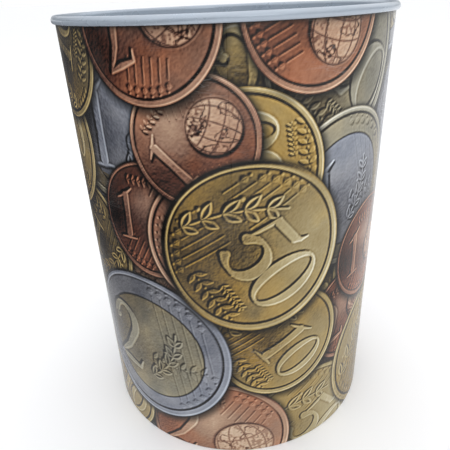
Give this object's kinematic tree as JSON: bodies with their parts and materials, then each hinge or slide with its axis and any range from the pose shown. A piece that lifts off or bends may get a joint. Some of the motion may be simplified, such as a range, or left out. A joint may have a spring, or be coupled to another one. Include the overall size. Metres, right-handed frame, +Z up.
{
  "type": "tin money box",
  "caption": "Straight round tin money box: printed tinplate wall, recessed seamed top with a coin slot, clinched base with a pull-out stopper.",
  "frame": {"origin": "centre of the circle that the tin stands on", "axes": "+Z up along the tin's axis, -Y towards the front of the print, +X to the right seen from the front; the coin slot runs along X"},
  "size_m": [0.102, 0.102, 0.1375],
  "materials": {
    "printed_wall": "gloss varnished coin print",
    "white_lacquer": "smooth gloss",
    "bare_tinplate": "bright tinplate",
    "stopper_plastic": "moulded, fine texture"
  },
  "bodies": {
    "tin": {"body_wall": "printed_wall", "top_end": "white_lacquer", "base_end": "bare_tinplate"},
    "stopper": {"stopper": "stopper_plastic"}
  },
  "joints": [
    {"name": "stopper_pull", "type": "slide", "parent": "tin", "child": "stopper", "axis": [0, 0, -1], "range_m": [0, 0.03]}
  ]
}
